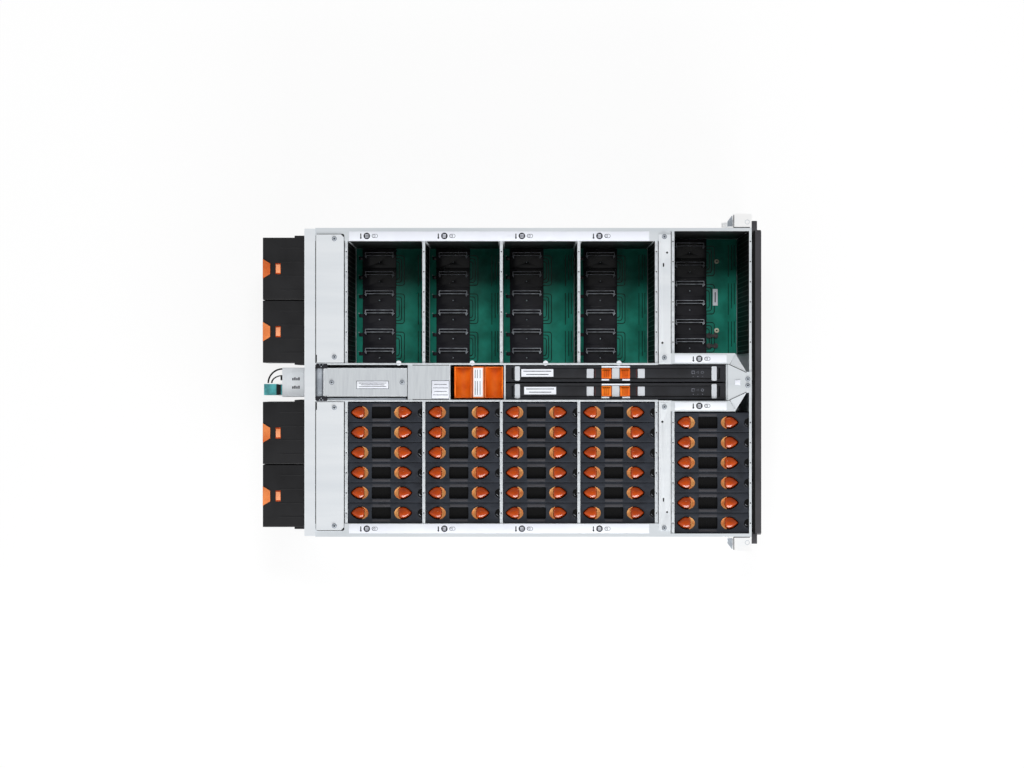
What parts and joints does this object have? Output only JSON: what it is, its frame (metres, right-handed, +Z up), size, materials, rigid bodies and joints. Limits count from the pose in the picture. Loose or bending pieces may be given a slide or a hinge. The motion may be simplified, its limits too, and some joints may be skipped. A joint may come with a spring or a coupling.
{
  "type": "disk shelf enclosure",
  "caption": "Rack-mount top-loading disk shelf: steel tub with drive slots beside a centre tunnel, lift-out drives and modules, rear fans and power supplies, front bezel.",
  "frame": {"origin": "middle of the underside of the overall box", "axes": "+Z up, -Y out of the front bezel, +X to the right seen from the front"},
  "size_m": [0.4826, 0.714, 0.1778],
  "materials": {
    "zinc_sheet": "zinc-plated steel sheet, satin",
    "divider_steel": "zinc-plated steel strip, satin",
    "cover_steel": "brushed plated sheet",
    "ear_steel": "plated steel bracket, satin",
    "screw_steel": "zinc-plated pan head screws",
    "board": "green circuit board with black sockets",
    "orange_plastic": "orange moulded plastic, matt",
    "bezel_plastic": "charcoal moulded plastic, fine texture",
    "teal_plastic": "teal moulded plastic",
    "black_plastic": "black moulded plastic",
    "lever_plastic": "grey lever with orange pad",
    "fan_plastic": "black fan housing with orange frame",
    "rotor_plastic": "black fan impeller",
    "carrier_plastic": "dark graphite carrier with orange tabs"
  },
  "bodies": {
    "chassis": {"chassis_tub": "zinc_sheet", "rear_panel": "zinc_sheet", "bay_dividers": "divider_steel", "cross_beams": "zinc_sheet", "centre_tunnel": "zinc_sheet", "drive_backplanes": "board", "rear_cover_plates": "zinc_sheet", "tunnel_covers": "cover_steel", "rack_ears": "ear_steel", "screws": "screw_steel"},
    "drive_row1_slot1": {"drive_row1_slot1": "carrier_plastic"},
    "drive_row1_slot2": {"drive_row1_slot2": "carrier_plastic"},
    "drive_row1_slot3": {"drive_row1_slot3": "carrier_plastic"},
    "drive_row1_slot4": {"drive_row1_slot4": "carrier_plastic"},
    "drive_row1_slot5": {"drive_row1_slot5": "carrier_plastic"},
    "drive_row1_slot6": {"drive_row1_slot6": "carrier_plastic"},
    "drive_row2_slot1": {"drive_row2_slot1": "carrier_plastic"},
    "drive_row2_slot2": {"drive_row2_slot2": "carrier_plastic"},
    "drive_row2_slot3": {"drive_row2_slot3": "carrier_plastic"},
    "drive_row2_slot4": {"drive_row2_slot4": "carrier_plastic"},
    "drive_row2_slot5": {"drive_row2_slot5": "carrier_plastic"},
    "drive_row2_slot6": {"drive_row2_slot6": "carrier_plastic"},
    "drive_row3_slot1": {"drive_row3_slot1": "carrier_plastic"},
    "drive_row3_slot2": {"drive_row3_slot2": "carrier_plastic"},
    "drive_row3_slot3": {"drive_row3_slot3": "carrier_plastic"},
    "drive_row3_slot4": {"drive_row3_slot4": "carrier_plastic"},
    "drive_row3_slot5": {"drive_row3_slot5": "carrier_plastic"},
    "drive_row3_slot6": {"drive_row3_slot6": "carrier_plastic"},
    "drive_row4_slot1": {"drive_row4_slot1": "carrier_plastic"},
    "drive_row4_slot2": {"drive_row4_slot2": "carrier_plastic"},
    "drive_row4_slot3": {"drive_row4_slot3": "carrier_plastic"},
    "drive_row4_slot4": {"drive_row4_slot4": "carrier_plastic"},
    "drive_row4_slot5": {"drive_row4_slot5": "carrier_plastic"},
    "drive_row4_slot6": {"drive_row4_slot6": "carrier_plastic"},
    "drive_row5_slot1": {"drive_row5_slot1": "carrier_plastic"},
    "drive_row5_slot2": {"drive_row5_slot2": "carrier_plastic"},
    "drive_row5_slot3": {"drive_row5_slot3": "carrier_plastic"},
    "drive_row5_slot4": {"drive_row5_slot4": "carrier_plastic"},
    "drive_row5_slot5": {"drive_row5_slot5": "carrier_plastic"},
    "drive_row5_slot6": {"drive_row5_slot6": "carrier_plastic"},
    "fan_module_1": {"fan_module_1": "fan_plastic"},
    "fan_rotor_1": {"fan_rotor_1": "rotor_plastic"},
    "fan_module_2": {"fan_module_2": "fan_plastic"},
    "fan_rotor_2": {"fan_rotor_2": "rotor_plastic"},
    "fan_module_3": {"fan_module_3": "fan_plastic"},
    "fan_rotor_3": {"fan_rotor_3": "rotor_plastic"},
    "fan_module_4": {"fan_module_4": "fan_plastic"},
    "fan_rotor_4": {"fan_rotor_4": "rotor_plastic"},
    "psu_lower": {"psu_lower": "cover_steel"},
    "psu_latch_lower": {"psu_latch_lower": "teal_plastic"},
    "psu_upper": {"psu_upper": "cover_steel"},
    "psu_latch_upper": {"psu_latch_upper": "teal_plastic"},
    "io_module_a": {"io_module_a": "black_plastic"},
    "io_lever_a_front": {"io_lever_a_front": "lever_plastic"},
    "io_lever_a_rear": {"io_lever_a_rear": "lever_plastic"},
    "io_module_b": {"io_module_b": "black_plastic"},
    "io_lever_b_front": {"io_lever_b_front": "lever_plastic"},
    "io_lever_b_rear": {"io_lever_b_rear": "lever_plastic"},
    "air_baffle": {"air_baffle": "orange_plastic"},
    "bezel": {"bezel": "bezel_plastic"}
  },
  "joints": [
    {"name": "drive_row1_slot1_lift", "type": "slide", "parent": "chassis", "child": "drive_row1_slot1", "axis": [0, 0, 1], "range_m": [0, 0.16]},
    {"name": "drive_row1_slot2_lift", "type": "slide", "parent": "chassis", "child": "drive_row1_slot2", "axis": [0, 0, 1], "range_m": [0, 0.16]},
    {"name": "drive_row1_slot3_lift", "type": "slide", "parent": "chassis", "child": "drive_row1_slot3", "axis": [0, 0, 1], "range_m": [0, 0.16]},
    {"name": "drive_row1_slot4_lift", "type": "slide", "parent": "chassis", "child": "drive_row1_slot4", "axis": [0, 0, 1], "range_m": [0, 0.16]},
    {"name": "drive_row1_slot5_lift", "type": "slide", "parent": "chassis", "child": "drive_row1_slot5", "axis": [0, 0, 1], "range_m": [0, 0.16]},
    {"name": "drive_row1_slot6_lift", "type": "slide", "parent": "chassis", "child": "drive_row1_slot6", "axis": [0, 0, 1], "range_m": [0, 0.16]},
    {"name": "drive_row2_slot1_lift", "type": "slide", "parent": "chassis", "child": "drive_row2_slot1", "axis": [0, 0, 1], "range_m": [0, 0.16]},
    {"name": "drive_row2_slot2_lift", "type": "slide", "parent": "chassis", "child": "drive_row2_slot2", "axis": [0, 0, 1], "range_m": [0, 0.16]},
    {"name": "drive_row2_slot3_lift", "type": "slide", "parent": "chassis", "child": "drive_row2_slot3", "axis": [0, 0, 1], "range_m": [0, 0.16]},
    {"name": "drive_row2_slot4_lift", "type": "slide", "parent": "chassis", "child": "drive_row2_slot4", "axis": [0, 0, 1], "range_m": [0, 0.16]},
    {"name": "drive_row2_slot5_lift", "type": "slide", "parent": "chassis", "child": "drive_row2_slot5", "axis": [0, 0, 1], "range_m": [0, 0.16]},
    {"name": "drive_row2_slot6_lift", "type": "slide", "parent": "chassis", "child": "drive_row2_slot6", "axis": [0, 0, 1], "range_m": [0, 0.16]},
    {"name": "drive_row3_slot1_lift", "type": "slide", "parent": "chassis", "child": "drive_row3_slot1", "axis": [0, 0, 1], "range_m": [0, 0.16]},
    {"name": "drive_row3_slot2_lift", "type": "slide", "parent": "chassis", "child": "drive_row3_slot2", "axis": [0, 0, 1], "range_m": [0, 0.16]},
    {"name": "drive_row3_slot3_lift", "type": "slide", "parent": "chassis", "child": "drive_row3_slot3", "axis": [0, 0, 1], "range_m": [0, 0.16]},
    {"name": "drive_row3_slot4_lift", "type": "slide", "parent": "chassis", "child": "drive_row3_slot4", "axis": [0, 0, 1], "range_m": [0, 0.16]},
    {"name": "drive_row3_slot5_lift", "type": "slide", "parent": "chassis", "child": "drive_row3_slot5", "axis": [0, 0, 1], "range_m": [0, 0.16]},
    {"name": "drive_row3_slot6_lift", "type": "slide", "parent": "chassis", "child": "drive_row3_slot6", "axis": [0, 0, 1], "range_m": [0, 0.16]},
    {"name": "drive_row4_slot1_lift", "type": "slide", "parent": "chassis", "child": "drive_row4_slot1", "axis": [0, 0, 1], "range_m": [0, 0.16]},
    {"name": "drive_row4_slot2_lift", "type": "slide", "parent": "chassis", "child": "drive_row4_slot2", "axis": [0, 0, 1], "range_m": [0, 0.16]},
    {"name": "drive_row4_slot3_lift", "type": "slide", "parent": "chassis", "child": "drive_row4_slot3", "axis": [0, 0, 1], "range_m": [0, 0.16]},
    {"name": "drive_row4_slot4_lift", "type": "slide", "parent": "chassis", "child": "drive_row4_slot4", "axis": [0, 0, 1], "range_m": [0, 0.16]},
    {"name": "drive_row4_slot5_lift", "type": "slide", "parent": "chassis", "child": "drive_row4_slot5", "axis": [0, 0, 1], "range_m": [0, 0.16]},
    {"name": "drive_row4_slot6_lift", "type": "slide", "parent": "chassis", "child": "drive_row4_slot6", "axis": [0, 0, 1], "range_m": [0, 0.16]},
    {"name": "drive_row5_slot1_lift", "type": "slide", "parent": "chassis", "child": "drive_row5_slot1", "axis": [0, 0, 1], "range_m": [0, 0.16]},
    {"name": "drive_row5_slot2_lift", "type": "slide", "parent": "chassis", "child": "drive_row5_slot2", "axis": [0, 0, 1], "range_m": [0, 0.16]},
    {"name": "drive_row5_slot3_lift", "type": "slide", "parent": "chassis", "child": "drive_row5_slot3", "axis": [0, 0, 1], "range_m": [0, 0.16]},
    {"name": "drive_row5_slot4_lift", "type": "slide", "parent": "chassis", "child": "drive_row5_slot4", "axis": [0, 0, 1], "range_m": [0, 0.16]},
    {"name": "drive_row5_slot5_lift", "type": "slide", "parent": "chassis", "child": "drive_row5_slot5", "axis": [0, 0, 1], "range_m": [0, 0.16]},
    {"name": "drive_row5_slot6_lift", "type": "slide", "parent": "chassis", "child": "drive_row5_slot6", "axis": [0, 0, 1], "range_m": [0, 0.16]},
    {"name": "fan_module_1_slide", "type": "slide", "parent": "chassis", "child": "fan_module_1", "axis": [0, 1, 0], "range_m": [0, 0.11]},
    {"name": "fan_rotor_1_spin", "type": "hinge", "parent": "fan_module_1", "child": "fan_rotor_1", "pos_m": [-0.0726, 0.3264, 0.129], "axis": [0, 1, 0], "continuous": true},
    {"name": "fan_module_2_slide", "type": "slide", "parent": "chassis", "child": "fan_module_2", "axis": [0, 1, 0], "range_m": [0, 0.11]},
    {"name": "fan_rotor_2_spin", "type": "hinge", "parent": "fan_module_2", "child": "fan_rotor_2", "pos_m": [-0.1628, 0.3264, 0.129], "axis": [0, 1, 0], "continuous": true},
    {"name": "fan_module_3_slide", "type": "slide", "parent": "chassis", "child": "fan_module_3", "axis": [0, 1, 0], "range_m": [0, 0.11]},
    {"name": "fan_rotor_3_spin", "type": "hinge", "parent": "fan_module_3", "child": "fan_rotor_3", "pos_m": [0.0726, 0.3264, 0.129], "axis": [0, 1, 0], "continuous": true},
    {"name": "fan_module_4_slide", "type": "slide", "parent": "chassis", "child": "fan_module_4", "axis": [0, 1, 0], "range_m": [0, 0.11]},
    {"name": "fan_rotor_4_spin", "type": "hinge", "parent": "fan_module_4", "child": "fan_rotor_4", "pos_m": [0.1628, 0.3264, 0.129], "axis": [0, 1, 0], "continuous": true},
    {"name": "psu_lower_slide", "type": "slide", "parent": "chassis", "child": "psu_lower", "axis": [0, 1, 0], "range_m": [0, 0.25]},
    {"name": "psu_latch_lower_press", "type": "hinge", "parent": "psu_lower", "child": "psu_latch_lower", "pos_m": [-0.0105, 0.333, 0.077], "axis": [-1, 0, 0], "range_deg": [0, 12], "stiffness_Nm_per_rad": 0.05},
    {"name": "psu_upper_slide", "type": "slide", "parent": "chassis", "child": "psu_upper", "axis": [0, 1, 0], "range_m": [0, 0.25]},
    {"name": "psu_latch_upper_press", "type": "hinge", "parent": "psu_upper", "child": "psu_latch_upper", "pos_m": [-0.0105, 0.333, 0.1552], "axis": [-1, 0, 0], "range_deg": [0, 12], "stiffness_Nm_per_rad": 0.05},
    {"name": "io_module_a_lift", "type": "slide", "parent": "chassis", "child": "io_module_a", "axis": [0, 0, 1], "range_m": [0, 0.17]},
    {"name": "io_lever_a_front_turn", "type": "hinge", "parent": "io_module_a", "child": "io_lever_a_front", "pos_m": [-0.0127, -0.2948, 0.17], "axis": [1, 0, 0], "range_deg": [0, 70]},
    {"name": "io_lever_a_rear_turn", "type": "hinge", "parent": "io_module_a", "child": "io_lever_a_rear", "pos_m": [-0.0127, -0.0024, 0.17], "axis": [-1, 0, 0], "range_deg": [0, 70]},
    {"name": "io_module_b_lift", "type": "slide", "parent": "chassis", "child": "io_module_b", "axis": [0, 0, 1], "range_m": [0, 0.17]},
    {"name": "io_lever_b_front_turn", "type": "hinge", "parent": "io_module_b", "child": "io_lever_b_front", "pos_m": [0.0127, -0.2948, 0.17], "axis": [1, 0, 0], "range_deg": [0, 70]},
    {"name": "io_lever_b_rear_turn", "type": "hinge", "parent": "io_module_b", "child": "io_lever_b_rear", "pos_m": [0.0127, -0.0024, 0.17], "axis": [-1, 0, 0], "range_deg": [0, 70]},
    {"name": "air_baffle_lift", "type": "slide", "parent": "chassis", "child": "air_baffle", "axis": [0, 0, 1], "range_m": [0, 0.16]},
    {"name": "bezel_pull", "type": "slide", "parent": "chassis", "child": "bezel", "axis": [0, -1, 0], "range_m": [0, 0.05]}
  ]
}
